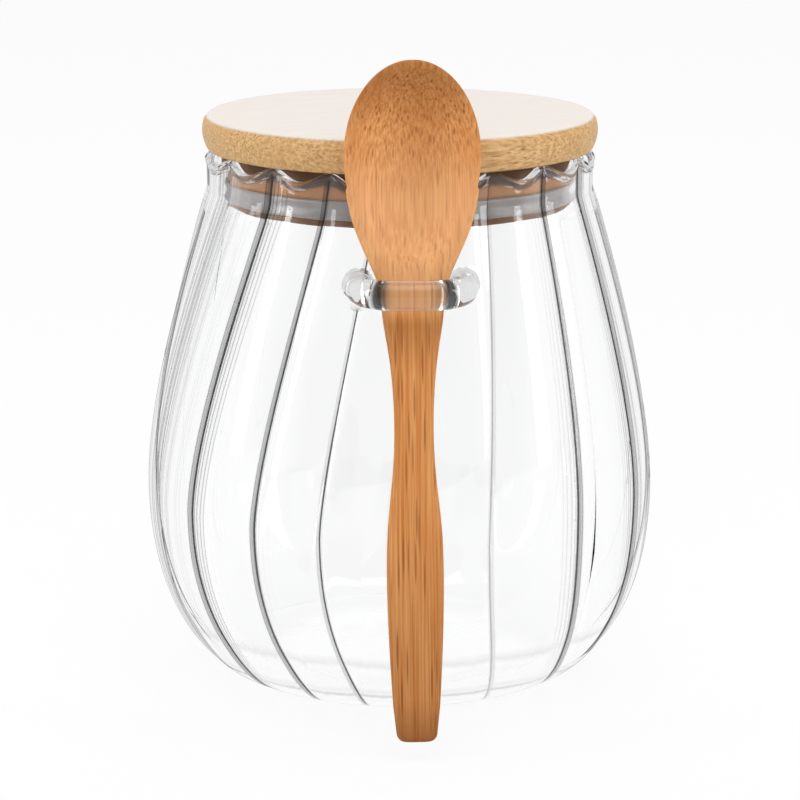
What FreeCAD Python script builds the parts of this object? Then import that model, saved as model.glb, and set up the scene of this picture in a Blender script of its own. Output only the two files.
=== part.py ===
# Ribbed storage jar: blown glass body with a fused glass loop, bamboo lid with a
# silicone seal, and a bamboo spoon that hangs through the loop.
# Millimetres. The jar's axis is Z, its foot stands on z = 0, the loop faces -Y.
# Sizes that stand alone are set in the first blocks. Sizes that have to fit another
# piece are worked out from them under "sizes that follow", each with its clearance.
import FreeCAD, Part
import math
import os

from FreeCAD import Vector

# ---- jar: outer profile, from the foot to the straight neck
foot_r = 30.2            # flat foot that the jar stands on
foot_corner = 11.3       # how far the underside runs out before it turns up
belly_r = 52.2           # widest radius, over the lobes
belly_z = 39.7           # height of the widest ring
belly_low = 0.62         # pull of the curve below the belly, as a share of its height
belly_high = 0.369       # pull of the curve above the belly, as a share of the shoulder
neck_r = 39.55           # straight neck, over the lobes
neck_z = 101.0           # where the shoulder runs into the neck
shoulder_pull = 0.7      # how late the shoulder bends into the neck
neck_h = 6.75            # neck from there to the mean height of the rim
wall = 1.8               # glass thickness in the body
rim_wall = 1.35          # glass thickness at the rim
bead_r = 0.76            # radius of the fire-polished bead
bead_rise = 0.84         # height of the bead
rim_fade = 8.0           # the wall thins to the rim over this height, below the neck
floor_t = 3.2            # glass thickness of the floor
floor_in = 4.2           # the flat floor starts this far inside the foot's edge
floor_fade = 16.0        # the floor's thickness runs into the wall's over this height

# ---- jar: lobes pressed between narrow creases, uneven as in blown glass
lobe_widths = [20.2, 20.0, 16.1, 20.1, 17.5, 23.5, 24.4, 20.5, 19.0,
               21.0, 18.5, 20.0, 21.5, 18.5, 20.5, 19.0, 19.5, 20.2]
first_crease = -77.0     # degrees from the front, positive towards +X
lobe_depth = 0.8         # how far the broad lobe falls away to its crease
crease_depth = 0.55      # extra depth of the narrow crease outside
crease_width = 1.0       # how fast the crease opens to the sides
inner_depth = 0.95       # how far the crease shows on the inside
neck_depth = 1.35        # lobe depth at the rim, outside
neck_inner = 1.15        # lobe depth at the rim, inside
neck_crease = 0.1        # extra depth of the crease at the rim
lobe_fade = 12.0         # the lobes run out over this height above the foot
lean_mean = 4.5          # degrees that a crease turns from belly to rim
lean_swing = 9.5         # how much more on the side of lean_side
lean_side = -56.6
lean_rise = 1.3          # how late the lean sets in above the belly
foot_twist = 8.0         # degrees that a crease turns from belly to foot
twist_fall = 2.2         # how late the twist sets in below the belly
rim_wave = 0.95          # the rim rises at each crease and dips between
wave_h = 10.0            # height over which the wave grows

# ---- loop for the spoon, a glass rod bent in a U and fused to the shoulder
loop_drop = 13.0         # loop below the neck
rod_r = 2.85
loop_bend = 6.2          # bend radius of the rod's centre line
weld_r = 3.2             # spread of the fused foot of each leg
weld_len = 1.8           # length over which the leg spreads
weld_share = 0.9         # the legs end at this share of the wall's thickness

# ---- lid
lid_over = 0.55          # lid's widest ring beyond the neck
lid_t = 6.9
lid_top_in = 1.0         # top edge inside the widest ring
lid_under_in = 1.4       # underside's edge inside the widest ring
lid_bulge_z = 3.7        # height of the widest ring above the underside
lid_low_z = 1.6          # height where the edge turns under
lid_soft = 0.6           # rounding of the top edge
plug_len = 11.0          # plug below the underside of the lid
plug_soft = 0.5
groove_top = 5.65        # top of the seal's groove below the underside
groove_h = 3.95
groove_d = 2.8

# ---- seal
seal_proud = 0.7         # seal beyond the plug
seal_waist = 0.45        # depth of the hollow between its two lips
seal_lip = 0.12          # how far the lower lip stands out
seal_soft = 0.3

# ---- spoon
handle_t = 3.7
handle_end_w = 3.75      # half width at the lower end
end_round = 1.4          # rounding of the end's corners
hang_w = 6.3             # half width where it hangs between the loop's legs
bowl_w = 26.0
bowl_rise = 25.5         # widest place of the bowl above the loop
bowl_top = 43.9          # tip of the bowl above the loop
bowl_back = 5.5          # depth of the bowl from rim to back
bowl_sweep = 0.0035      # how much the bowl's rim line bows forward at its ends
bowl_edge = 0.9          # the bowl is widest this far behind its rim line
turn_low = 6.0           # the handle starts to turn into the bowl this far below the loop
turn_h = 20.0            # and has turned over this height
hollow_deep = 4.0
hollow_side = 1.5        # rim left beside the hollow
hollow_tip = 1.3         # rim left above the hollow
hollow_low = 21.2        # lower end of the hollow below the widest place
hollow_shift = 0.35      # the hollow is scooped a little off the middle
# half widths of the handle, as (share of the way from its end to the loop, half width)
handle_widths = [(0.078, 4.5), (0.193, 5.05), (0.342, 5.42), (0.478, 5.12), (0.597, 4.1),
                 (0.6975, 3.75), (0.787, 4.05), (0.87, 4.85), (0.953, 5.9)]
# shoulders, as (share of the way from loop to widest place, share of the way to full width)
shoulder_widths = [(0.078, 0.09), (0.314, 0.475), (0.549, 0.80), (0.765, 0.955)]

# ---- clearances
lid_gap = 0.1            # lid above the crests of the rim
seal_gap = 0.1           # seal inside the neck's narrowest places
shoulder_gap = 1.25      # handle's back off the shoulder, in the loop
bar_gap = 0.85           # handle's front off the loop's bar
leg_gap = 0.7           # spoon's sides off the loop's legs
touch_gap = 0.12         # handle's back off the belly that it leans on
bowl_gap = 0.8           # bowl's back off the lid's edge
table_gap = 3.7          # spoon's end above the table


# ------------------------------------------------------------------ helpers
def bezier(p, t):
    """Point and outward normal of a cubic Bezier in the (r, z) plane."""
    q = 1 - t
    weights = (q**3, 3*q*q*t, 3*q*t*t, t**3)
    slopes = (-3*q*q, 3*q*q - 6*q*t, 6*q*t - 3*t*t, 3*t*t)
    r = sum(w*a[0] for w, a in zip(weights, p))
    z = sum(w*a[1] for w, a in zip(weights, p))
    dr = sum(w*a[0] for w, a in zip(slopes, p))
    dz = sum(w*a[1] for w, a in zip(slopes, p))
    length = math.hypot(dr, dz)
    return r, z, dz/length, -dr/length


def smooth(x):
    x = min(max(x, 0.0), 1.0)
    return x*x*(3 - 2*x)


def mix(a, b, t):
    return a + (b - a)*t


def round_end(t):
    """Height of a quarter circle at t of its run, 0 to 1."""
    t = min(max(t, 0.0), 1.0)
    return math.sqrt(1 - (1 - t)**2)


def drawn_out(before, here, after):
    """Control point that lets a cubic curve run close to the point it stands for."""
    return here - (before - here*2 + after)*(1/6)


def closed_skin(rings):
    """Surface through rings of points, periodic around, open along."""
    around = len(rings[0])
    along = len(rings)
    poles = [[drawn_out(ring[i - 1], ring[i], ring[(i + 1) % around]) for ring in rings] for i in range(around)]
    surface = Part.BSplineSurface()
    surface.buildFromPolesMultsKnots(
        poles, [1]*(around + 1), [4] + [1]*(along - 4) + [4],
        [float(k) for k in range(around + 1)], [float(k) for k in range(along - 2)],
        True, False, 3, 3)
    return surface


def strip_skin(runs):
    """Surface through open runs of points: its edges pass exactly through the first and last points."""
    across = len(runs[0])
    along = len(runs)
    poles = [[run[0] for run in runs]]
    poles += [[drawn_out(run[i - 1], run[i], run[i + 1]) for run in runs] for i in range(1, across - 1)]
    poles += [[run[-1] for run in runs]]
    surface = Part.BSplineSurface()
    surface.buildFromPolesMultsKnots(
        poles, [4] + [1]*(across - 4) + [4], [4] + [1]*(along - 4) + [4],
        [float(k) for k in range(across - 2)], [float(k) for k in range(along - 2)],
        False, False, 3, 3)
    return surface


def closed_solid(surfaces):
    """Solid of skins that join into one tube, its two open ends closed by flat faces."""
    faces = [Part.Face(surface) for surface in surfaces]
    for end in (2, 3):
        edges = [surface.vIso(surface.bounds()[end]).toShape() for surface in surfaces]
        faces.append(Part.Face(Part.Wire(edges)))
    shell = Part.Shell(faces)
    shell.sewShape()
    solid = Part.Solid(shell)
    if solid.Volume < 0:
        solid.reverse()
    return solid


def line(a, b):
    return Part.LineSegment(Vector(a[0], 0, a[1]), Vector(b[0], 0, b[1])).toShape()


def arc(a, m, b):
    return Part.Arc(Vector(a[0], 0, a[1]), Vector(m[0], 0, m[1]), Vector(b[0], 0, b[1])).toShape()


def revolved(edges):
    """Solid of a closed (r, z) outline turned about the Z axis."""
    face = Part.Face(Part.Wire(edges))
    return face.revolve(Vector(0, 0, 0), Vector(0, 0, 1), 360)


# ------------------------------------------------------------------ sizes that follow
lower_curve = [(foot_r, 0), (foot_r + foot_corner, 0), (belly_r, belly_z*(1 - belly_low)), (belly_r, belly_z)]
upper_curve = [(belly_r, belly_z), (belly_r, belly_z + belly_high*(neck_z - belly_z)),
               (neck_r, neck_z - shoulder_pull), (neck_r, neck_z)]
lobe_scale = 360.0 / sum(lobe_widths)


def profile_radius(z):
    """Outer radius over the lobes at a height above the belly."""
    if z >= neck_z:
        return neck_r
    low, high = 0.0, 1.0
    for _ in range(40):
        mid = (low + high)/2
        if bezier(upper_curve, mid)[1] < z:
            low = mid
        else:
            high = mid
    return bezier(upper_curve, low)[0]


rim_z = neck_z + neck_h
bead_z = rim_z - bead_rise                          # where the bead starts
loop_z = neck_z - loop_drop

# lid and seal, from the mouth that they close
mouth_r = neck_r - rim_wall - neck_inner            # narrowest radius inside the neck
seal_r = mouth_r - seal_gap
plug_r = seal_r - seal_proud
groove_r = plug_r - groove_d
lid_r = neck_r + lid_over
lid_z = rim_z + rim_wave + lid_gap                  # underside, on the rim's crests

# spoon's heights, hung from the loop
spoon_end_z = table_gap
bowl_z = loop_z + bowl_rise
spoon_top_z = loop_z + bowl_top
bowl_s = lid_r + bowl_gap + bowl_back               # front of the bowl's rim from the axis

# loop, around the handle that passes through it
hang_s = profile_radius(loop_z) + shoulder_gap      # handle's back in the loop
loop_front = max(hang_s + handle_t, bowl_s) + bar_gap + rod_r
loop_half = hang_w + leg_gap + rod_r


def handle_slope():
    """Slope of the handle's back: it clears the shoulder in the loop and leans on the belly."""
    steps = 200
    heights = [mix(belly_z, loop_z - rod_r, k/steps) for k in range(steps)]
    return max((profile_radius(z) + touch_gap - hang_s)/(loop_z - z) for z in heights)


spoon_slope = handle_slope()


# ------------------------------------------------------------------ jar
def crease_turn(z, angle):
    """Degrees by which the creases are turned at height z, from their place at the belly."""
    if z < belly_z:
        return foot_twist * ((belly_z - z)/belly_z)**twist_fall
    share = min((z - belly_z)/(rim_z - belly_z), 1.0)**lean_rise
    return (lean_mean + lean_swing*math.cos(math.radians(angle - lean_side)))*share


# places across a lobe, from one crease to the next, closer together at the crease
lobe_steps = [0.0, 0.04, 0.12, 0.27, 0.5, 0.73, 0.88, 0.96]


def wall_ring(r, z, nr, nz, broad, narrow, lift, cusp=True):
    """One ring of the wall: the lobes fall inwards along the normal at each crease, in a sharp or a soft fold."""
    ring = []
    start = first_crease
    for share in lobe_widths:
        width = share*lobe_scale
        for step in lobe_steps:
            angle = start + step*width
            edge = min(step, 1 - step)*math.radians(width)*r
            fold = 1 - math.sin(math.pi*step) if cusp else 0.5 + 0.5*math.cos(2*math.pi*step)
            fall = broad*fold + narrow*math.exp(-edge/crease_width)
            rr = r - nr*fall
            zz = z - nz*fall + lift*math.cos(2*math.pi*step)
            turned = math.radians(angle + crease_turn(z, angle))
            ring.append(Vector(rr*math.sin(turned), -rr*math.cos(turned), zz))
        start += width
    return ring


def wall_stations():
    """Outer profile from the foot's edge to the bead, as (r, z, normal r, normal z)."""
    stations = [bezier(lower_curve, k/11) for k in range(12)]
    stations += [bezier(upper_curve, k/12) for k in range(1, 13)]
    stations += [(neck_r, mix(neck_z, bead_z, k/3), 1.0, 0.0) for k in range(1, 4)]
    return stations


def jar_shell():
    """Glass body in one skin: up the outside, over the bead, down the inside."""
    outside, inside = [], []
    for r, z, nr, nz in wall_stations():
        to_neck = smooth((z - belly_z)/(neck_z - belly_z))
        to_foot = smooth(z/lobe_fade)
        lift = rim_wave*smooth((z - bead_z + wave_h)/wave_h)
        broad = mix(lobe_depth, neck_depth, to_neck)*to_foot
        narrow = mix(crease_depth, neck_crease, to_neck)*to_foot
        outside.append(wall_ring(r, z, nr, nz, broad, narrow, lift))
        thick = mix(wall, rim_wall, smooth((z - neck_z + rim_fade)/rim_fade))
        thick = mix(floor_t, thick, smooth(z/floor_fade))
        inner = mix(inner_depth, neck_inner, to_neck)*smooth(z/floor_fade)
        # the first inside rings would bunch at the floor's corner
        if z > 0.3:
            inside.append(wall_ring(r - nr*thick, z - nz*thick, nr, nz, inner, 0.0, lift, cusp=False))
    bead = []
    for step in (0.15, 0.32, 0.5, 0.68, 0.85):
        turn = math.pi*step
        r = neck_r - rim_wall/2 + bead_r*math.cos(turn)
        z = bead_z + bead_rise*math.sin(turn)
        bead.append(wall_ring(r, z, 1.0, 0.0, mix(neck_depth, neck_inner, step), 0.0, rim_wave, cusp=step < 0.5))
    inside.reverse()
    floor = [wall_ring(foot_r - floor_in*t, floor_t, 0.0, 1.0, 0.0, 0.0, 0.0) for t in (0.45, 0.75, 1.0)]
    rings = outside + bead + inside + floor
    # one skin for each lobe, so that the creases between them are true edges
    per = len(lobe_steps)
    count = per*len(lobe_widths)
    starts = range(0, count, per)
    lobes = [[[ring[(start + i) % count] for i in range(per + 1)] for ring in rings] for start in starts]
    return closed_solid([strip_skin(lobe) for lobe in lobes])


def loop_path():
    """Centre line of the rod: leg, bend, bar, bend, leg."""
    deep_s = hang_s/2
    corner_s = loop_front - loop_bend
    bar_x = loop_half - loop_bend
    slant = loop_bend*math.sqrt(0.5)
    left = [Vector(-loop_half, -deep_s, loop_z), Vector(-loop_half, -corner_s, loop_z),
            Vector(-bar_x - slant, -corner_s - slant, loop_z), Vector(-bar_x, -loop_front, loop_z)]
    right = [Vector(-p.x, p.y, p.z) for p in left]
    return Part.Wire([
        Part.LineSegment(left[0], left[1]).toShape(),
        Part.Arc(left[1], left[2], left[3]).toShape(),
        Part.LineSegment(left[3], right[3]).toShape(),
        Part.Arc(right[3], right[2], right[1]).toShape(),
        Part.LineSegment(right[1], right[0]).toShape()])


def leg_foot(side):
    """Foot of one leg, spreading to the wall in a hollow arc."""
    x = side*loop_half
    wall_s = math.sqrt(profile_radius(loop_z)**2 - loop_half**2)
    spread = weld_r - rod_r
    # outline as (distance from the jar's axis, distance from the rod's centre line)
    outline = [(wall_s + weld_len, 0), (wall_s + weld_len, rod_r),
               (wall_s + 0.3*weld_len, rod_r + 0.22*spread),
               (wall_s - 0.3*weld_len, weld_r), (hang_s/2, weld_r), (hang_s/2, 0)]
    p = [Vector(x, -s, loop_z + h) for s, h in outline]
    edges = [Part.LineSegment(p[0], p[1]).toShape(), Part.Arc(p[1], p[2], p[3]).toShape(),
             Part.LineSegment(p[3], p[4]).toShape(), Part.LineSegment(p[4], p[5]).toShape(),
             Part.LineSegment(p[5], p[0]).toShape()]
    return Part.Face(Part.Wire(edges)).revolve(Vector(x, 0, loop_z), Vector(0, 1, 0), 360)


def wall_core():
    """Plain turned body whose skin runs inside the wall's thickness beside the loop."""
    sink = wall*weld_share
    low, high = loop_z - 3*weld_r, loop_z + 3*weld_r
    heights = [mix(low, high, k/6) for k in range(7)]
    curve = Part.BSplineCurve()
    curve.interpolate([Vector(profile_radius(z) - sink, 0, z) for z in heights])
    edges = [line((0, low), (profile_radius(low) - sink, low)), curve.toShape(),
             line((profile_radius(high) - sink, high), (0, high)), line((0, high), (0, low))]
    return revolved(edges)


def glass_loop():
    """Bent rod with spread feet, cut off inside the wall so that it fuses with it."""
    start = Vector(-loop_half, -hang_s/2, loop_z)
    section = Part.Wire(Part.Circle(start, Vector(0, 1, 0), rod_r).toShape())
    rod = loop_path().makePipeShell([section], True, False)
    return rod.fuse(leg_foot(-1)).fuse(leg_foot(1)).cut(wall_core())


def make_jar():
    return jar_shell().fuse(glass_loop()).removeSplitter()


# ------------------------------------------------------------------ lid and seal
def make_lid():
    """Disc with a full edge, and the plug below it with the groove for the seal."""
    top = lid_z + lid_t
    top_r = lid_r - lid_top_in
    corner = lid_soft*(1 - math.sqrt(0.5))
    # the edge turns under in two steps below its widest ring
    turn = (lid_r - 0.25*lid_under_in, lid_z + lid_low_z)
    low = (lid_r - 0.54*lid_under_in, lid_z + 0.4*lid_low_z)
    under = (lid_r - lid_under_in, lid_z)
    plug_low = lid_z - plug_len
    g_top = lid_z - groove_top
    g_low = g_top - groove_h
    edges = [
        line((0, top), (top_r - lid_soft, top)),
        arc((top_r - lid_soft, top), (top_r - 0.5*corner, top - corner), (top_r + 0.5*corner, top - lid_soft)),
        arc((top_r + 0.5*corner, top - lid_soft), (lid_r, lid_z + lid_bulge_z), turn),
        arc(turn, low, under),
        line(under, (plug_r, lid_z)),
        line((plug_r, lid_z), (plug_r, g_top)),
        line((plug_r, g_top), (groove_r, g_top)),
        line((groove_r, g_top), (groove_r, g_low)),
        line((groove_r, g_low), (plug_r, g_low)),
        line((plug_r, g_low), (plug_r, plug_low + plug_soft)),
        line((plug_r, plug_low + plug_soft), (plug_r - plug_soft, plug_low)),
        line((plug_r - plug_soft, plug_low), (0, plug_low)),
        line((0, plug_low), (0, top))]
    return revolved(edges)


def make_gasket():
    """Soft ring seated in the plug's groove, hollow between an upper and a lower lip."""
    high = lid_z - groove_top
    low = high - groove_h
    face_r = seal_r - seal_lip
    lip_h = 0.2*groove_h
    soft = seal_soft*(1 - math.sqrt(0.5))
    edges = [
        line((groove_r, low), (groove_r, high)),
        line((groove_r, high), (face_r - seal_soft, high)),
        arc((face_r - seal_soft, high), (face_r - soft, high - soft), (face_r, high - seal_soft)),
        arc((face_r, high - seal_soft), (face_r - seal_waist, mix(low, high, 0.5)), (face_r, low + lip_h)),
        arc((face_r, low + lip_h), (seal_r, low + lip_h/2), (face_r, low)),
        line((face_r, low), (groove_r, low))]
    return revolved(edges)


# ------------------------------------------------------------------ spoon
def to_bowl(z):
    """0 on the handle, 1 on the bowl."""
    return smooth((z - loop_z + turn_low)/turn_h)


def handle_back(z):
    return hang_s + (loop_z - z)*spoon_slope


def spoon_front(z):
    return mix(handle_back(z) + handle_t, bowl_s + bowl_sweep*(z - bowl_z)**2, to_bowl(z))


def spoon_back(z):
    """The bowl's back is deepest a little below its widest place."""
    reach = (z - bowl_z + 2.0)/(spoon_top_z - bowl_z + 3.6)
    depth = bowl_back*math.sqrt(max(1 - 0.75*reach*reach, 0.05))
    return mix(handle_back(z), bowl_s - depth, to_bowl(z))


def width_stations():
    """Half widths of handle and shoulders as (height, half width), up to the oval bowl."""
    handle = [(mix(spoon_end_z, loop_z, share), w) for share, w in handle_widths]
    shoulders = [(mix(loop_z, bowl_z, rise), mix(hang_w, bowl_w/2, share)) for rise, share in shoulder_widths]
    return handle + [(loop_z, hang_w)] + shoulders


def end_half_width(z):
    """Half width of the lower end, with its rounded corners."""
    first_z, first_w = width_stations()[0]
    straight = mix(handle_end_w, first_w, (z - spoon_end_z)/(first_z - spoon_end_z))
    return straight - end_round + end_round*round_end((z - spoon_end_z)/end_round)


def power(value, exponent):
    return math.copysign(abs(value)**exponent, value)


def spoon_ring(z, half, thin):
    """Section of the spoon: a rounded bar in the handle, flat in front and round behind in the bowl."""
    share = to_bowl(z)
    front, back = spoon_front(z), spoon_back(z)
    edge = mix((front + back)/2, front - bowl_edge, share)
    front, back = mix(edge, front, thin), mix(edge, back, thin)
    # powers of the rounded sections: 1 is an ellipse, lower is squarer
    side_power = mix(0.6, 0.85, share)
    front_power = mix(0.55, 0.3, share)
    back_power = mix(0.55, 0.9, share)
    ring = []
    count = 28
    for k in range(count):
        c, s = math.cos(2*math.pi*k/count), math.sin(2*math.pi*k/count)
        depth = (front - edge)*power(s, front_power) if s > 0 else (edge - back)*power(s, back_power)
        ring.append(Vector(half*power(c, side_power), -(edge + depth), z))
    return ring


def make_spoon():
    """Carved spoon: skin of the blank, then the hollow scooped out of the bowl."""
    end_steps = [0.0, 0.15, 0.5, 1.2, 3.3]           # heights of the end's rings
    rings = [(spoon_end_z + h, end_half_width(spoon_end_z + h)) for h in end_steps]
    rings += width_stations()
    for degrees in (0, 15, 30, 44, 57, 68, 77, 84, 89):
        turn = math.radians(degrees)
        rings.append((bowl_z + (spoon_top_z - bowl_z)*math.sin(turn), bowl_w/2*math.cos(turn)))
    rows = []
    for z, half in rings:
        # the end is rounded to half its thickness, the bowl's tip runs out to an edge
        thin = mix(0.55, 1.0, round_end((z - spoon_end_z)/1.2))*round_end((spoon_top_z - z)/2.5)
        rows.append(spoon_ring(z, half, thin))
    return closed_solid([closed_skin(rows)]).cut(bowl_hollow())


def bowl_hollow():
    """Egg-shaped scoop, longer towards the handle than towards the tip."""
    side = bowl_w/2 - hollow_side
    ball = Part.makeSphere(1.0, Vector(0, 0, 0), Vector(0, 1, 0))
    upper_half = ball.common(Part.makeBox(4, 4, 2, Vector(-2, -2, 0)))
    lower_half = ball.common(Part.makeBox(4, 4, 2, Vector(-2, -2, -2)))
    upper = stretched(upper_half, side, hollow_deep, spoon_top_z - hollow_tip - bowl_z)
    lower = stretched(lower_half, side, hollow_deep, hollow_low)
    scoop = upper.fuse(lower)
    # a little in front of the rim line, so that the edge is crisp
    scoop.translate(Vector(hollow_shift, -bowl_s - 0.25, bowl_z))
    return scoop


def stretched(shape, along_x, along_y, along_z):
    matrix = FreeCAD.Matrix()
    matrix.scale(Vector(along_x, along_y, along_z))
    return shape.transformGeometry(matrix)


# ------------------------------------------------------------------ write the sub-parts
os.makedirs("parts", exist_ok=True)
for name, shape in (("jar", make_jar()), ("lid", make_lid()), ("gasket", make_gasket()), ("spoon", make_spoon())):
    print(name, "solids", len(shape.Solids), "valid", shape.isValid(), "volume", round(shape.Volume, 1),
          "box", shape.BoundBox)
    solid = shape.Solids[0] if len(shape.Solids) == 1 else shape
    solid.exportStep("parts/" + name + ".step")
print("loop front", round(loop_front, 2), "half", round(loop_half, 2), "slope", round(spoon_slope, 4),
      "bowl", round(bowl_s, 2))
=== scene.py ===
import bmesh
import bpy
import math
import numpy as np
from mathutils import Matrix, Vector


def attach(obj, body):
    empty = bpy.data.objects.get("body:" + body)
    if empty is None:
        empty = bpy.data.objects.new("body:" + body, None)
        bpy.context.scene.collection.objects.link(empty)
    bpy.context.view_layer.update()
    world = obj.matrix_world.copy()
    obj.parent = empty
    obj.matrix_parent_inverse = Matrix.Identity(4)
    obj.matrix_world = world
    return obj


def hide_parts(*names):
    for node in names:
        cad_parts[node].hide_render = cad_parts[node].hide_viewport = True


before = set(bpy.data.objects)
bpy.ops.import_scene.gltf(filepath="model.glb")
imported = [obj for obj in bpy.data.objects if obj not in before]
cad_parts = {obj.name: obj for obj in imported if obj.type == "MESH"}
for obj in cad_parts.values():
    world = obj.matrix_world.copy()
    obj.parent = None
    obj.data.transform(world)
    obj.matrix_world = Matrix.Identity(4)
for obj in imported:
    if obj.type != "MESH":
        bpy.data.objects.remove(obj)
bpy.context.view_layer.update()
scene = bpy.context.scene
mm = 0.001


# small helpers for shapes

def smoothStep(x):
    x = np.clip(x, 0.0, 1.0)
    return x * x * (3 - 2 * x)


def mix(a, b, t):
    return a + (b - a) * t


def bezier(points, t):
    # a cubic Bezier in the (r, z) plane and its outward normal: weights of the four points, and their slopes
    q = 1 - t
    weights = np.array([q ** 3, 3 * q * q * t, 3 * q * t * t, t ** 3])
    slopes = np.array([-3 * q * q, 3 * q * q - 6 * q * t, 6 * q * t - 3 * t * t, 3 * t * t])
    points = np.array(points, float)
    r, z = points.T @ weights
    dr, dz = points.T @ slopes
    length = np.hypot(dr, dz)
    return np.array([r, z, dz / length, -dr / length])


def meshFrom(name, points, faces, smooth=True):
    mesh = bpy.data.meshes.new(name)
    mesh.from_pydata((np.asarray(points) * mm).tolist(), [], faces)
    mesh.polygons.foreach_set("use_smooth", np.full(len(mesh.polygons), smooth))
    mesh.update()
    piece = bpy.data.objects.new(name, mesh)
    scene.collection.objects.link(piece)
    return piece


def closedTube(grid, startPole=None, endPole=None, closeAlong=False):
    # grid is rings x points x 3, each ring closed; a pole point closes an open end with a fan
    rings, around = grid.shape[:2]
    points = grid.reshape(-1, 3)
    i, j = np.meshgrid(np.arange(rings if closeAlong else rings - 1), np.arange(around), indexing="ij")
    nextRing, nextPoint = (i + 1) % rings, (j + 1) % around
    quads = np.stack([i * around + j, i * around + nextPoint,
                      nextRing * around + nextPoint, nextRing * around + j], -1)
    faces = quads.reshape(-1, 4).tolist()
    k = np.arange(around)
    if startPole is not None:
        points = np.vstack([points, startPole])
        faces += np.stack([np.full(around, len(points) - 1), (k + 1) % around, k], -1).tolist()
    if endPole is not None:
        points = np.vstack([points, endPole])
        last = (rings - 1) * around
        faces += np.stack([np.full(around, len(points) - 1), last + k, last + (k + 1) % around], -1).tolist()
    return points, faces


def lathe(outline, around):
    # a closed (r, z) outline turned about Z: x = r sin a, y = -r cos a
    a = np.linspace(0, 2 * math.pi, around, endpoint=False)
    r, z = np.array(outline).T
    return np.stack([r[:, None] * np.sin(a), -r[:, None] * np.cos(a), np.repeat(z[:, None], around, 1)], -1)


def arcPoints(centre, radius, fromDeg, toDeg, count):
    a = np.radians(np.linspace(fromDeg, toDeg, count))
    return np.stack([centre[0] + radius * np.cos(a), centre[1] + radius * np.sin(a)], -1)


def runPoints(a, b, count):
    t = np.linspace(0, 1, count)[:, None]
    return np.array(a) * (1 - t) + np.array(b) * t


# small helpers for materials

def newMaterial(name):
    material = bpy.data.materials.new(name)
    material.use_nodes = True
    tree = material.node_tree
    tree.nodes.clear()
    output = tree.nodes.new("ShaderNodeOutputMaterial")
    return material, tree, output


def node(tree, kind, settings=None, **inputs):
    made = tree.nodes.new("ShaderNode" + kind)
    for key, value in (settings or {}).items():
        setattr(made, key, value)
    for key, value in inputs.items():
        # i0, i1 ... are sockets by number, other words are sockets by name
        byNumber = key[0] == "i" and key[1:].isdigit()
        socket = made.inputs[int(key[1:]) if byNumber else key.replace("_", " ")]
        if isinstance(value, bpy.types.NodeSocket):
            tree.links.new(value, socket)
        else:
            socket.default_value = value
    return made


def math2(tree, operation, a, b=0.0):
    return node(tree, "Math", {"operation": operation}, i0=a, i1=b).outputs[0]


def blend(tree, factor, a, b, how="MIX"):
    made = node(tree, "Mix", {"data_type": "RGBA", "blend_type": how})
    for socket, value in ((made.inputs[0], factor), (made.inputs[6], a), (made.inputs[7], b)):
        if isinstance(value, bpy.types.NodeSocket):
            tree.links.new(value, socket)
        else:
            socket.default_value = value
    return made.outputs[2]


def mapRange(tree, value, low, high, toLow=0.0, toHigh=1.0):
    return node(tree, "MapRange", {"interpolation_type": "SMOOTHSTEP"}, i0=value, i1=low, i2=high, i3=toLow,
                i4=toHigh).outputs[0]


def colour(r, g, b):
    # from the 0 to 255 numbers of a paint chart to linear light
    c = np.array([r, g, b]) / 255
    c = np.where(c <= 0.04045, c / 12.92, ((c + 0.055) / 1.055) ** 2.4)
    return (*c.tolist(), 1.0)


# glass jar with its fused loop

jar = {
    "footR": 30.2, "footCorner": 11.3, "bellyR": 52.2, "bellyZ": 39.7, "bellyLow": 24.6, "bellyHigh": 22.6,
    "neckR": 39.55, "neckZ": 101.0, "shoulderPull": 0.7, "rimZ": 107.75, "wall": 1.8, "rimWall": 1.35,
    "beadR": 0.76, "beadRise": 0.84, "roll": 0.4, "rollHeight": 0.75, "rollThick": 1.7, "rollBead": 0.85,
    "floorT": 3.2,
    "lobeWidths": [20.2, 20.0, 16.1, 20.1, 17.5, 23.5, 24.4, 20.5, 19.0,
                   21.0, 18.5, 20.0, 21.5, 18.5, 20.5, 19.0, 19.5, 20.2],
    "firstCrease": -77.0, "lobeDepth": 0.8, "creaseDepth": 0.5, "creaseWidth": 1.0,
    "neckDepth": 1.35, "neckInner": 1.15, "neckCrease": 0.1,
    "lobeFade": 12.0, "creaseFade": 6.0, "floorFade": 16.0, "rimFade": 8.0,
    "leanMean": 4.5, "leanSwing": 9.5, "leanSide": -56.6, "leanRise": 1.3, "footTwist": 8.0, "twistFall": 2.2,
    "rimWave": 0.95, "waveH": 10.0, "stepsPerLobe": 32, "stepCrowding": 0.86,
}
# how dark the painted shade line on each crease is, from the first one on around the jar
creaseLineDark = [0.35, 1.0, 1.0, 0.95, 0.6, 0.5, 1.0, 1.0, 0.35, 0.7, 0.8, 0.9, 0.7, 0.8, 0.9, 0.7, 0.8, 0.7]
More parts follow.
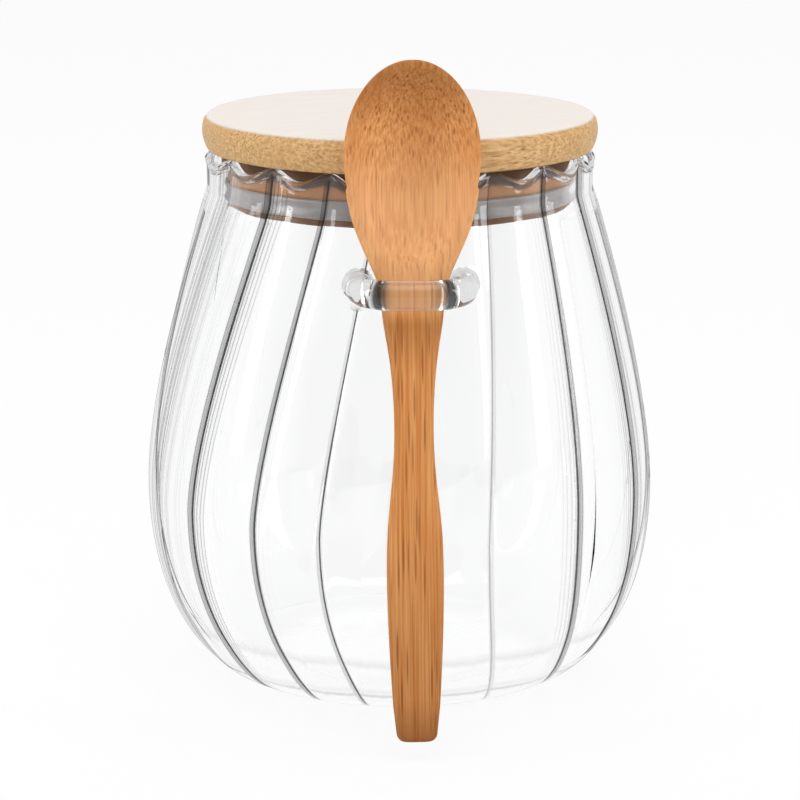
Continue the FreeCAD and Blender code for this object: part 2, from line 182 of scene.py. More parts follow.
# the dark lines drawn on the glass are painted shade, standing in for the dark that refraction and reflection
# show in real glass
# the glass: each ramp says how dark it is drawn at shares of its reach; reaches and heights are in
# millimetres, and a turn is 0 where the wall is square to the eye and 1 where it is edge on
glassLook = {
    "ior": 1.47, "iorDrop": 0.468, "clear": (0.99, 0.992, 0.992, 1), "dark": (0.004, 0.004, 0.004, 1),
    "shade": (0.95, 0.96, 0.96, 1), "wobbleScale": 60.0, "wobble": 0.15, "streakScale": 26.0,
    "thinGrey": 0.6, "edgeGrey": 0.55, "rimGrey": 0.3, "nearReach": 2.0, "farReach": 6.0,
    "besideTurn": (0.04, 0.16), "farTurn": (0.15, 0.5), "sideTurn": (0.45, 0.85), "edgeTurn": (0.86, 0.97),
    "rodTurn": (0.72, 0.95), "thinNoise": (0.012, 0.03), "streakNoise": (0.5, 0.68),
    "creaseNear": (2.0, 3.5), "footNear": (14, 20), "sideStraight": (0.55, 0.75),
    "bellyStraight": (0.36, 0.42), "bellyTop": (97, 100),
    "core": [(0.0, 0.95), (0.12, 0.95), (0.18, 0.0)],
    "outwardSide": [(0.0, 0.6), (0.3, 0.5), (0.42, 0.42), (0.5, 0.7), (0.55, 0.1), (0.7, 0.0)],
    "inwardSide": [(0.0, 0.3), (0.18, 0.25), (0.26, 0.05), (0.34, 0.6), (0.42, 0.06), (0.55, 0.0)],
    "far": [(0.15, 0.0), (0.2, 0.8), (0.25, 0.1), (0.36, 0.1), (0.4, 0.75), (0.44, 0.1), (0.58, 0.04),
            (0.63, 0.6), (0.68, 0.06), (0.78, 0.04), (0.83, 0.5), (0.88, 0.0)],
    "footReach": 20.0, "footUneven": 0.8,
    "foot": [(0.0, 0.4), (0.02, 0.3), (0.05, 0.0), (0.2, 0.0), (0.23, 0.35), (0.26, 0.04), (0.3, 0.1),
             (0.34, 0.0), (0.58, 0.0), (0.64, 0.14), (0.7, 0.05), (0.74, 0.0)],
}
loop = {"z": 88.0, "rodR": 2.85, "front": 52.0, "half": 9.85, "bend": 6.2, "bow": 0.9,
        "weldR": 3.2, "weldLen": 1.8, "sink": 1.4}


def lobePlaces():
    # angle at the belly, share of the lobe and lobe width, for every point of a ring
    widths = np.array(jar["lobeWidths"])
    widths = widths * 360 / widths.sum()
    starts = jar["firstCrease"] + np.concatenate([[0], np.cumsum(widths)[:-1]])
    s = np.arange(jar["stepsPerLobe"]) / jar["stepsPerLobe"]
    share = s - jar["stepCrowding"] * np.sin(2 * math.pi * s) / (2 * math.pi)
    angle = starts[:, None] + share[None, :] * widths[:, None]
    return angle.ravel(), np.tile(share, len(widths)), np.repeat(widths, len(s))


def creaseTurn(z, angle):
    # creases lean as z rises from the belly to the rim, and swing back towards the foot
    low = jar["footTwist"] * np.clip((jar["bellyZ"] - z) / jar["bellyZ"], 0, 1) ** jar["twistFall"]
    rise = np.clip((z - jar["bellyZ"]) / (jar["rimZ"] - jar["bellyZ"]), 0, 1) ** jar["leanRise"]
    return low + (jar["leanMean"] + jar["leanSwing"] * np.cos(np.radians(angle - jar["leanSide"]))) * rise


def wallRings(stations, broad, narrow, lift):
    # a point of the wall: the smooth profile, moved in along its normal by
    # broad * (1 - sin(pi share)) + narrow * exp(-distance to the crease / width),
    # then turned by the crease's lean
    angle, share, width = lobePlaces()
    r, z, nr, nz = (stations[k][:, None] for k in range(4))
    edge = np.minimum(share, 1 - share) * np.radians(width) * r
    fall = broad[:, None] * (1 - np.sin(math.pi * share))
    fall = fall + narrow[:, None] * np.exp(-edge / jar["creaseWidth"])
    rr = r - nr * fall
    zz = z - nz * fall + lift[:, None] * np.cos(2 * math.pi * share)
    a = np.radians(angle + creaseTurn(z, angle))
    return np.stack([rr * np.sin(a), -rr * np.cos(a), zz], -1), np.clip(edge, 0, glassLook["farReach"])


def jarStations():
    # outer profile from the foot's edge to the bead, as rows of r, z and the outward normal
    j = jar
    lower = bezier([(j["footR"], 0), (j["footR"] + j["footCorner"], 0),
                    (j["bellyR"], j["bellyZ"] - j["bellyLow"]), (j["bellyR"], j["bellyZ"])],
                   np.linspace(0, 1, 38))
    upper = bezier([(j["bellyR"], j["bellyZ"]), (j["bellyR"], j["bellyZ"] + j["bellyHigh"]),
                    (j["neckR"], j["neckZ"] - j["shoulderPull"]), (j["neckR"], j["neckZ"])],
                   np.linspace(0, 1, 38)[1:])
    top = j["rimZ"] - j["beadRise"]
    z = np.concatenate([np.linspace(j["neckZ"], top - 1.4, 6), np.linspace(top - 1.4, top, 9)[1:]])[1:]
    # the fire-polished rim is a soft roll a little thicker than the neck
    roll = j["roll"] * np.exp(-((z - top) / j["rollHeight"]) ** 2)
    neck = np.stack([j["neckR"] + roll, z, np.ones_like(z), np.zeros_like(z)])
    return np.concatenate([lower, upper, neck], 1)


def makeJarMesh():
    # one closed grid of rings: under the foot, up the outside, over the bead, down the inside, over the floor
    j = jar
    stations = jarStations()
    r, z, nr, nz = stations
    beadZ = j["rimZ"] - j["beadRise"]
    toNeck = smoothStep((z - j["bellyZ"]) / (j["neckZ"] - j["bellyZ"]))
    lift = j["rimWave"] * smoothStep((z - beadZ + j["waveH"]) / j["waveH"])
    outerDepth = mix(j["lobeDepth"], j["neckDepth"], toNeck) * smoothStep(z / j["lobeFade"])
    creaseDepth = mix(j["creaseDepth"], j["neckCrease"], toNeck) * smoothStep(z / j["creaseFade"])
    outside, outsideEdge = wallRings(stations, outerDepth, creaseDepth, lift)
    thick = mix(j["wall"], j["rimWall"], smoothStep((z - j["neckZ"] + j["rimFade"]) / j["rimFade"]))
    thick = mix(j["floorT"], thick, smoothStep(z / j["floorFade"]))
    thick = thick + j["rollThick"] * j["roll"] * np.exp(-((z - beadZ) / j["rollHeight"]) ** 2)
    innerStations = np.stack([r - nr * thick, z - nz * thick, nr, nz])
    innerDepth = mix(j["lobeDepth"], j["neckInner"], toNeck) * smoothStep(z / j["lobeFade"])
    keep = np.flatnonzero(z > 0.3)[::-1]
    keep = np.concatenate([keep[:9], keep[9::2]])
    inside, insideEdge = wallRings(innerStations[:, keep], innerDepth[keep], 0 * innerDepth[keep], lift[keep])
    share = np.linspace(0, 1, 14)[1:-1]
    beadR = (j["beadR"] + j["rollBead"] * j["roll"]) * np.cos(math.pi * share)
    bead = np.stack([j["neckR"] - j["rimWall"] / 2 + beadR, beadZ + j["beadRise"] * np.sin(math.pi * share),
                     np.ones(12), np.zeros(12)])
    beadRings, beadEdge = wallRings(bead, mix(j["neckDepth"], j["neckInner"], share),
                                    j["neckCrease"] * (1 - share), np.full(12, j["rimWave"]))
    flatR = np.linspace(innerStations[0, keep[-1]], 4.0, 9)[1:]
    floor = np.stack([flatR, np.full(8, j["floorT"]), np.zeros(8), np.ones(8)])
    floorRings, floorEdge = wallRings(floor, np.zeros(8), np.zeros(8), np.zeros(8))
    under = np.stack([np.array([8.0, 18.0, 26.0]), np.zeros(3), np.zeros(3), -np.ones(3)])
    underRings, underEdge = wallRings(under, np.zeros(3), np.zeros(3), np.zeros(3))
    grid = np.concatenate([underRings, outside, beadRings, inside, floorRings])
    points, faces = closedTube(grid, (0, 0, 0), (0, 0, j["floorT"]))
    body = meshFrom("glass_jar", points, faces)
    # what the material draws its painted shade lines with: distance to the nearest crease, which side of it,
    # how dark it reads, and the direction from the axis at the belly
    angle, share = lobePlaces()[:2]
    edges = np.concatenate([underEdge, outsideEdge, beadEdge, insideEdge, floorEdge])
    first, last = len(underRings), len(underRings) + len(z)
    onOutside, onSkin = np.zeros(len(grid)), np.zeros(len(grid))
    onSkin[first:last + 6] = 1.0
    onOutside[first:last] = smoothStep((z - 0.2) / 1.5) * smoothStep((beadZ + 0.5 - z) / 1.5)
    steps = j["stepsPerLobe"]
    lineDark = np.where(share < 0.5, np.repeat(creaseLineDark, steps), np.repeat(np.roll(creaseLineDark, -1), steps))
    # where the rim's grey goes: painted shade standing in for the bead's refraction
    onRim = np.zeros(len(grid))
    onRim[first:last] = smoothStep((z - beadZ + 1.5) / 0.7)
    onRim[last:last + 8] = 1.0
    a = np.radians(angle)
    inward = (share < 0.5) == (np.sin(a) < 0)
    paint(body, "foldDist", edges)
    paint(body, "foldLineDark", onOutside[:, None] * lineDark)
    paint(body, "skin", np.repeat(onSkin[:, None], len(angle), 1))
    paint(body, "rim", np.repeat(onRim[:, None], len(angle), 1))
    paint(body, "inward", np.tile(inward.astype(float), (len(grid), 1)))
    paint(body, "aroundX", np.tile(np.sin(a), (len(grid), 1)))
    paint(body, "aroundY", np.tile(-np.cos(a), (len(grid), 1)))
    return body


def paint(piece, name, values):
    # one number per point; the closing points at the ends of the grid get 0
    layer = piece.data.attributes.new(name, "FLOAT", "POINT")
    values = np.ravel(values)
    layer.data.foreach_set("value", np.pad(values, (0, len(piece.data.vertices) - len(values))))


def makeLoopMesh():
    # circles carried along a U: leg, bend, bar, bend, leg; the bar bows out by bow * (1 - (x / half)^2),
    # and the radius grows towards the wall at both feet
    p = loop
    profile = jarStations()
    wallR = np.interp(p["z"], profile[1], profile[0])
    wallS = math.sqrt(wallR ** 2 - p["half"] ** 2)
    corner, side = p["front"] - p["bend"], p["half"] - p["bend"]
    legS = np.concatenate([np.linspace(wallS - p["sink"], wallS + p["weldLen"], 14),
                           np.linspace(wallS + p["weldLen"], corner, 4)[1:]])
    leg = np.stack([np.full_like(legS, -p["half"]), legS], -1)
    a = np.radians(np.linspace(0, 90, 22)[1:])
    bend = np.stack([-side - p["bend"] * np.cos(a), corner + p["bend"] * np.sin(a)], -1)
    halfPath = np.concatenate([leg, bend])
    bar = np.stack([np.linspace(-side, side, 12)[1:-1], np.full(10, p["front"])], -1)
    path = np.concatenate([halfPath, bar, halfPath[::-1] * [-1, 1]])
    bow = p["bow"] * np.clip(np.abs(path[:, 0]) / p["half"], 0, 1) ** 2
    path[:, 1] -= bow * smoothStep((path[:, 1] - wallS) / 4)
    tangent = np.gradient(path, axis=0)
    tangent /= np.linalg.norm(tangent, axis=1)[:, None]
    normal = np.stack([-tangent[:, 1], tangent[:, 0]], -1)
    spread = np.clip((wallS + p["weldLen"] - path[:, 1]) / p["weldLen"], 0, 1.3)
    radius = p["rodR"] + (p["weldR"] - p["rodR"]) * spread ** 2.4
    t = np.linspace(0, 2 * math.pi, 48, endpoint=False)
    across = path[:, None, :] + normal[:, None, :] * (radius[:, None] * np.cos(t))[..., None]
    z = p["z"] + radius[:, None] * np.sin(t)
    grid = np.stack([across[..., 0], -across[..., 1], z], -1)
    points, faces = closedTube(grid, grid[0].mean(0), grid[-1].mean(0))
    rod = meshFrom("rod", points, faces)
    fixNormals(rod)
    return rod


# painted shade on the loop: the dark band on each bend and the grey of its legs
loopLook = {"band": 0.96, "bandTurn": 67, "bandHalf": 12, "bandSoft": 6,
            "legGrey": 0.24, "legEnd": 66, "legSoft": 10}


def paintLoop(piece):
    # the loop joins the outer skin; a dark band, 24 degrees wide, is painted on each bend and its legs are
    # painted greyer than its bar, as painted shade standing in for the refraction a glass rod shows; the turn
    # is measured from leg to bar
    p, look = loop, loopLook
    points = np.zeros(len(piece.data.vertices) * 3)
    piece.data.vertices.foreach_get("co", points)
    x, y, z = points.reshape(-1, 3).T / mm
    profile = jarStations()
    beyond = np.hypot(x, y) - np.interp(z, profile[1], profile[0])
    onRod = (beyond > 0.25) & (np.abs(z - p["z"]) < p["weldR"] + 0.2) & (np.abs(x) < p["half"] + 4) & (y < 0)
    aside = np.maximum(np.abs(x) - p["half"] + p["bend"], 0.001)
    turn = np.degrees(np.arctan2(-y - p["front"] + p["bend"], aside))
    band = look["band"] * smoothStep((look["bandHalf"] - np.abs(turn - look["bandTurn"])) / look["bandSoft"])
    leg = look["legGrey"] * smoothStep((look["legEnd"] - turn) / look["legSoft"])
    band = np.maximum(band, leg) * onRod
    layer = piece.data.attributes["skin"]
    skin = np.zeros(len(x))
    layer.data.foreach_get("value", skin)
    layer.data.foreach_set("value", np.maximum(skin, onRod))
    paint(piece, "rodBand", band)
    lineDark = np.zeros(len(x))
    piece.data.attributes["foldLineDark"].data.foreach_get("value", lineDark)
    piece.data.attributes["foldLineDark"].data.foreach_set("value", lineDark * ~onRod)
    paint(piece, "rod", onRod.astype(float))


def fixNormals(piece):
    shape = bmesh.new()
    shape.from_mesh(piece.data)
    bmesh.ops.recalc_face_normals(shape, faces=shape.faces)
    shape.to_mesh(piece.data)
    shape.free()


def applyModifiers(piece):
    graph = bpy.context.evaluated_depsgraph_get()
    made = bpy.data.meshes.new_from_object(piece.evaluated_get(graph))
    piece.modifiers.clear()
    piece.data = made


def attribute(tree, name):
    return node(tree, "Attribute", {"attribute_name": name}).outputs["Fac"]


def ramp(tree, value, stops):
    # grey levels at places between 0 and 1
    made = node(tree, "ValToRGB", i0=value)
    marks = made.color_ramp.elements
    while len(marks) < len(stops):
        marks.new(1.0)
    for mark, (place, level) in zip(marks, stops):
        mark.position = place
        mark.color = (level, level, level, 1)
    return made.outputs[0]


def creaseLines(tree, aside):
    # painted shade standing in for refraction at a crease: a dark core on each crease, a grey band on its
    # outward side and finer lines on its inward side, towards the middle; the more the crease is turned
    # aside, the wider they are
    look = glassLook
    place = node(tree, "TexCoord").outputs["Object"]
    wobble = node(tree, "TexNoise", Vector=place, Scale=look["wobbleScale"], Detail=1.0).outputs[0]
    wobble = math2(tree, "MULTIPLY", math2(tree, "SUBTRACT", wobble, 0.5), look["wobble"])
    away = math2(tree, "ADD", attribute(tree, "foldDist"), wobble)
    spread = math2(tree, "ADD", 0.5, math2(tree, "MULTIPLY", aside, 1.5))
    near = math2(tree, "DIVIDE", math2(tree, "DIVIDE", away, spread), look["nearReach"])
    inward = mapRange(tree, attribute(tree, "inward"), 0.4, 0.6)
    beside = blend(tree, inward, ramp(tree, near, look["outwardSide"]), ramp(tree, near, look["inwardSide"]))
    beside = math2(tree, "MULTIPLY", beside, mapRange(tree, aside, *look["besideTurn"], 0.2))
    far = ramp(tree, math2(tree, "DIVIDE", away, look["farReach"]), look["far"])
    far = math2(tree, "MULTIPLY", far, inward)
    far = math2(tree, "MULTIPLY", far, mapRange(tree, aside, *look["farTurn"]))
    lines = math2(tree, "MAXIMUM", ramp(tree, near, look["core"]), math2(tree, "MAXIMUM", beside, far))
    return math2(tree, "MULTIPLY", lines, attribute(tree, "foldLineDark"))


def sideLines(tree, aside, facing, noise, streak):
    # painted shade standing in for refraction and reflection at the sides: fine lines along the lobes where
    # the wall is turned aside from the eye, and a thin grey edge at the outline
    look = glassLook
    thin = math2(tree, "ABSOLUTE", math2(tree, "SUBTRACT", noise, 0.5))
    thin = mapRange(tree, thin, *look["thinNoise"], look["thinGrey"], 0.0)
    soft = math2(tree, "ADD", math2(tree, "MULTIPLY", streak, 0.25), 0.07)
    lines = math2(tree, "MAXIMUM", soft, thin)
    lines = math2(tree, "MULTIPLY", mapRange(tree, aside, *look["sideTurn"]), lines)
    return math2(tree, "MAXIMUM", lines, mapRange(tree, facing, *look["edgeTurn"], 0.0, look["edgeGrey"]))


def footLines(tree, height, streak):
    # painted shade on the foot, standing in for its refraction: a dark edge at the bottom, a grey line by the
    # floor inside and two fainter ones above
    uneven = math2(tree, "MULTIPLY", math2(tree, "SUBTRACT", streak, 0.5), glassLook["footUneven"] * mm)
    share = math2(tree, "DIVIDE", math2(tree, "ADD", height, uneven), glassLook["footReach"] * mm)
    return ramp(tree, share, glassLook["foot"])


def straightLight(tree, aside, height, skin, leaving, offRod):
    # 1 where light isn't bent: where it leaves the outer skin by a crease, by the foot or at the sides,
    # and at the sides of the belly altogether; it keeps dark hooks and thick dark edges out of the glass
    look = glassLook
    (footLow, footHigh), (bellyLow, bellyHigh) = look["footNear"], look["bellyTop"]
    byCrease = mapRange(tree, attribute(tree, "foldDist"), *look["creaseNear"], 1.0, 0.0)
    byFoot = mapRange(tree, height, footLow * mm, footHigh * mm, 1.0, 0.0)
    hidden = math2(tree, "MAXIMUM", byCrease, byFoot)
    hidden = math2(tree, "MAXIMUM", hidden, mapRange(tree, aside, *look["sideStraight"]))
    straight = math2(tree, "MULTIPLY", math2(tree, "MULTIPLY", skin, leaving), hidden)
    belly = mapRange(tree, height, bellyLow * mm, bellyHigh * mm, 1.0, 0.0)
    bellySide = math2(tree, "MULTIPLY", mapRange(tree, aside, *look["bellyStraight"]), belly)
    return math2(tree, "MULTIPLY", math2(tree, "MAXIMUM", straight, bellySide), offRod)


def makeGlassMaterial():
    # clear glass with painted shade: dark lines, standing in for refraction and reflection, drawn on the skin
    # that light enters by
    look = glassLook
    material, tree, output = newMaterial("clearGlass")
    around = node(tree, "CombineXYZ", X=attribute(tree, "aroundX"), Y=attribute(tree, "aroundY")).outputs[0]
    # how far the wall, and the surface itself, are turned aside: 0 when square to the eye, 1 when edge on
    aside = node(tree, "LayerWeight", Blend=0.5, Normal=around).outputs["Facing"]
    facing = node(tree, "LayerWeight", Blend=0.5).outputs["Facing"]
    height = node(tree, "SeparateXYZ", Vector=node(tree, "TexCoord").outputs["Object"]).outputs["Z"]
    noise = node(tree, "TexNoise", Vector=around, Scale=look["streakScale"], Detail=5.0,
                 Roughness=0.75).outputs[0]
    streak = mapRange(tree, noise, *look["streakNoise"])
    onRod = attribute(tree, "rod")
    offRod = math2(tree, "SUBTRACT", 1.0, onRod)
    skin, leaving = attribute(tree, "skin"), node(tree, "NewGeometry").outputs["Backfacing"]
    # painted shade: a grey edge where the rod is seen edge on
    rodEdge = mapRange(tree, facing, *look["rodTurn"], 0.0, look["edgeGrey"])
    rodEdge = math2(tree, "MULTIPLY", rodEdge, onRod)
    dark = creaseLines(tree, aside)
    # the painted shade layers: lines at the sides, the loop's bands, its edge, the foot's lines and the rim's
    # grey
    for layer in (math2(tree, "MULTIPLY", sideLines(tree, aside, facing, noise, streak), offRod),
                  attribute(tree, "rodBand"), rodEdge, footLines(tree, height, streak),
                  math2(tree, "MULTIPLY", attribute(tree, "rim"), look["rimGrey"])):
        dark = math2(tree, "MAXIMUM", dark, layer)
    dark = math2(tree, "MULTIPLY", dark, math2(tree, "MAXIMUM", math2(tree, "SUBTRACT", skin, leaving), 0.0))
    clear = math2(tree, "POWER", math2(tree, "SUBTRACT", 1.0, dark), 2.0)
    tint = blend(tree, clear, look["dark"], look["clear"])
    straight = straightLight(tree, aside, height, skin, leaving, offRod)
    bending = math2(tree, "SUBTRACT", look["ior"], math2(tree, "MULTIPLY", straight, look["iorDrop"]))
    glass = node(tree, "BsdfPrincipled", Base_Color=tint, Roughness=0.0, IOR=bending, Transmission_Weight=1.0)
    shade = node(tree, "BsdfTransparent", Color=look["shade"])
    path = node(tree, "LightPath")
    shader = node(tree, "MixShader", i0=path.outputs["Is Shadow Ray"], i1=glass.outputs[0],
                  i2=shade.outputs[0])
    tree.links.new(shader.outputs[0], output.inputs[0])
    return material


print("stage: glass jar")
jarPiece = makeJarMesh()
fixNormals(jarPiece)
rod = makeLoopMesh()
join = jarPiece.modifiers.new("weld", "BOOLEAN")
join.object, join.operation, join.solver = rod, "UNION", "MANIFOLD"
applyModifiers(jarPiece)
bpy.data.objects.remove(rod)
paintLoop(jarPiece)
jarPiece.data.polygons.foreach_set("use_smooth", np.ones(len(jarPiece.data.polygons), bool))
jarPiece.data.materials.clear()
jarPiece.data.materials.append(makeGlassMaterial())
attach(jarPiece, "root")
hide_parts("jar")


# bamboo lid and its seal

lidZ = jar["rimZ"] + jar["rimWave"] + 0.1
lid = {"t": 6.9, "r": 40.1, "topR": 39.1, "underR": 38.7, "bulgeZ": 3.7, "soft": 0.6,
       "plugR": 36.25, "plugLen": 11.0, "plugSoft": 0.5,
       "grooveTop": 5.65, "grooveH": 3.95, "grooveR": 33.45, "around": 288}
seal = {"r": 36.83, "waist": 0.45, "soft": 0.3, "around": 288}


def makeLidMesh():
    # outline of half a section: top, rounded edge, full side, soft underside, plug with the seal's groove
    p = lid
    top, grooveTop = lidZ + p["t"], lidZ - p["grooveTop"]
    grooveLow, plugLow = grooveTop - p["grooveH"], lidZ - p["plugLen"]
    sideTop, sideLow = top - p["soft"], lidZ + 0.6
    t = np.linspace(0, 1, 26)[1:-1]
    height = mix(sideTop, sideLow, t)
    bulge = (height - lidZ - p["bulgeZ"]) / 3.2
    side = np.stack([p["r"] - 0.8 * bulge ** 2 + 0.04 * bulge, height], -1)
    outline = np.concatenate([
        runPoints((2.0, top), (p["topR"] - p["soft"], top), 24)[:-1],
        arcPoints((p["topR"] - p["soft"] + 0.15, sideTop), p["soft"], 90, 8, 8),
        side[1:],
        arcPoints((p["underR"], lidZ + 0.55), 0.55, -20, -90, 6),
        runPoints((p["underR"] - 0.3, lidZ), (p["plugR"], lidZ), 3),
        runPoints((p["plugR"], lidZ - 0.1), (p["plugR"], grooveTop), 8),
        runPoints((p["plugR"] - 0.2, grooveTop), (p["grooveR"], grooveTop), 3),
        runPoints((p["grooveR"], grooveLow), (p["plugR"] - 0.1, grooveLow), 3),
        runPoints((p["plugR"], grooveLow), (p["plugR"], plugLow + p["plugSoft"]), 3),
        runPoints((p["plugR"] - p["plugSoft"], plugLow), (2.0, plugLow), 14)])
    points, faces = closedTube(lathe(outline, p["around"]), (0, 0, top), (0, 0, plugLow))
    piece = meshFrom("bamboo_lid", points, faces)
    fixNormals(piece)
    return piece


def makeSealMesh():
    # ring section: flat back in the groove, two lips outside with a waist between them
    p = seal
    high = lidZ - lid["grooveTop"] - 0.02
    low = high - lid["grooveH"] + 0.04
    inner = lid["grooveR"] + 0.02
    t = np.linspace(0, 1, 22)
    waist = p["r"] - p["waist"] * np.sin(math.pi * np.clip((t - 0.06) / 0.76, 0, 1)) ** 1.5
    upperLip = p["soft"] * (1 - t / 0.08).clip(0, 1) ** 2
    lowerLip = 0.15 * ((t - 0.93) / 0.07).clip(0, 1) ** 2
    outer = np.stack([waist - upperLip - lowerLip, mix(high, low, t)], -1)
    outline = np.concatenate([outer, runPoints((p["r"] - 0.4, low), (inner, low), 4),
                              runPoints((inner, high), (p["r"] - 0.5, high), 4)])
    points, faces = closedTube(lathe(outline, p["around"]), closeAlong=True)
    piece = meshFrom("seal_ring", points, faces)
    fixNormals(piece)
    return piece


def bambooLook(name, s):
    # 3-D bamboo: fibres run along one axis, so every cut of it shows its own grain
    material, tree, output = newMaterial(name)
    where = node(tree, "TexCoord").outputs["Object"]
    along = node(tree, "Mapping", Vector=where, Rotation=s["turn"], Scale=(1000, 1000, 1000)).outputs[0]
    fibreAt = node(tree, "Mapping", Vector=along, Scale=s["fibre"]).outputs[0]
    fibre = node(tree, "TexNoise", Vector=fibreAt, Scale=1.0, Detail=4.0, Roughness=0.6).outputs[0]
    toneAt = node(tree, "Mapping", Vector=along, Scale=s["tone"]).outputs[0]
    tone = node(tree, "TexNoise", Vector=toneAt, Scale=1.0, Detail=2.0).outputs[0]
    dotAt = node(tree, "Mapping", Vector=along, Scale=s["dots"]).outputs[0]
    dot = node(tree, "TexVoronoi", {"feature": "F1"}, Vector=dotAt, Scale=1.0).outputs["Distance"]
    mark = mapRange(tree, dot, s["dotSize"], s["dotSize"] * 0.4)
    fineMix = mapRange(tree, fibre, 0.3, 0.7)
    toneMix = mapRange(tree, tone, 0.3, 0.7)
    base = blend(tree, fineMix, s["deep"], s["pale"])
    base = blend(tree, math2(tree, "MULTIPLY", toneMix, s["toneShare"]), base, s["warm"])
    strength = mapRange(tree, tone, 0.25, 0.75, s["dotShare"], s["dotShare"] * 0.35)
    base = blend(tree, math2(tree, "MULTIPLY", mark, strength), base, s["dot"])
    rough = mapRange(tree, fibre, 0.2, 0.8, s["rough"] + 0.08, s["rough"] - 0.06)
    height = math2(tree, "SUBTRACT", fibre, math2(tree, "MULTIPLY", mark, 0.5))
    bump = node(tree, "Bump", Strength=s["bump"], Distance=0.00008, Height=height).outputs[0]
    return material, tree, output, where, base, rough, bump


def makeSpoonMaterial():
    look = {"turn": (math.radians(11.2), 0, 0), "fibre": (2.4, 2.4, 0.03), "tone": (0.12, 0.12, 0.02),
            "dots": (1.2, 1.2, 0.06), "dotSize": 0.33, "dotShare": 0.85, "toneShare": 0.5,
            "deep": colour(198, 122, 56), "pale": colour(242, 178, 112), "warm": colour(202, 122, 56),
            # below, the shade brown is painted shade and the pale bowl colour is painted light
            "dot": colour(138, 70, 26), "shadeBrown": colour(128, 72, 24), "bowl": colour(244, 190, 140),
            "rough": 0.5, "bump": 0.3}
    material, tree, output, where, base, rough, bump = bambooLook("spoonBamboo", look)
    # painted shade: darker where less light falls, at the end of the handle, at the neck under the loop and
    # at the bowl's tip
    height = node(tree, "SeparateXYZ", Vector=where).outputs["Z"]
    share = math2(tree, "DIVIDE", height, spoon["topZ"] * mm)
    shadeAmount = ramp(tree, share, [(0.03, 0.85), (0.09, 0.5), (0.22, 0.35), (0.4, 0.15), (0.55, 0.15),
                               (0.62, 0.5), (0.645, 0.0), (0.8, 0.0), (0.9, 0.1), (0.97, 0.55)])
    base = blend(tree, shadeAmount, base, look["shadeBrown"])
    # and paler in the lower part of the bowl, painted light where its hollow faces up to the lamps
    litAmount = ramp(tree, share, [(0.63, 0.0), (0.66, 0.35), (0.8, 0.4), (0.87, 0.1), (0.93, 0.0)])
    base = blend(tree, litAmount, base, look["bowl"])
    shader = node(tree, "BsdfPrincipled", Base_Color=base, Roughness=rough, Specular_IOR_Level=0.2,
                  Normal=bump)
    tree.links.new(shader.outputs[0], output.inputs[0])
    return material


def makeLidMaterial():
    look = {"turn": (0, 0, math.radians(-15)), "fibre": (0.05, 1.9, 1.9), "tone": (0.02, 0.11, 0.11),
            "dots": (0.06, 1.1, 1.1), "dotSize": 0.27, "dotShare": 0.75, "toneShare": 0.4,
            "deep": colour(180, 138, 86), "pale": colour(226, 186, 134), "warm": colour(196, 152, 96),
            # the near-white top colour is partly painted light, and the gap and low colours are painted shade
            "dot": colour(140, 92, 48), "paleTop": colour(229, 226, 223), "plug": colour(150, 90, 24),
            "gapShade": colour(40, 24, 14), "low": colour(84, 56, 34),
            "rough": 0.5, "bump": 0.3}
    material, tree, output, where, base, rough, bump = bambooLook("lidBamboo", look)
    height = node(tree, "SeparateXYZ", Vector=where).outputs["Z"]
    # pale on top, partly the bamboo's own lighter face and partly painted light from the lamp above; darker
    # on the plug, with painted shade in the gap under the disc and below the seal
    upper = mapRange(tree, height, (lidZ + lid["t"] - 0.7) * mm, (lidZ + lid["t"] - 0.1) * mm)
    base = blend(tree, upper, base, blend(tree, 0.85, base, look["paleTop"]))
    plug = mapRange(tree, height, (lidZ + 0.3) * mm, (lidZ - 0.2) * mm)
    base = blend(tree, math2(tree, "MULTIPLY", plug, 0.85), base, look["plug"])
    # painted shade in the gap under the disc
    gapShade = math2(tree, "MULTIPLY", plug, mapRange(tree, height, (lidZ - 3.6) * mm, (lidZ - 2.4) * mm))
    base = blend(tree, math2(tree, "MULTIPLY", gapShade, 0.8), base, look["gapShade"])
    # painted shade below the seal
    low = mapRange(tree, height, (lidZ - 9.4) * mm, (lidZ - 9.8) * mm)
    base = blend(tree, math2(tree, "MULTIPLY", low, 0.75), base, look["low"])
    shader = node(tree, "BsdfPrincipled", Base_Color=base, Roughness=rough, Specular_IOR_Level=0.2,
                  Normal=bump)
    tree.links.new(shader.outputs[0], output.inputs[0])
    return material


def makeSealMaterial():
    material, tree, output = newMaterial("sealSilicone")
    where = node(tree, "TexCoord").outputs["Object"]
    cloud = node(tree, "TexNoise", Vector=where, Scale=300.0, Detail=2.0).outputs[0]
    tone = blend(tree, mapRange(tree, cloud, 0.3, 0.7), colour(124, 118, 117), colour(142, 136, 134))
    shader = node(tree, "BsdfPrincipled", Base_Color=tone, Roughness=0.35, Subsurface_Weight=0.3,
                  Subsurface_Scale=0.002)
    tree.links.new(shader.outputs[0], output.inputs[0])
    return material


print("stage: lid and seal")
lidPiece = makeLidMesh()
lidPiece.data.materials.append(makeLidMaterial())
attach(lidPiece, "root")
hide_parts("lid")
sealPiece = makeSealMesh()
sealPiece.data.materials.append(makeSealMaterial())
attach(sealPiece, "root")
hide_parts("gasket")


# bamboo spoon

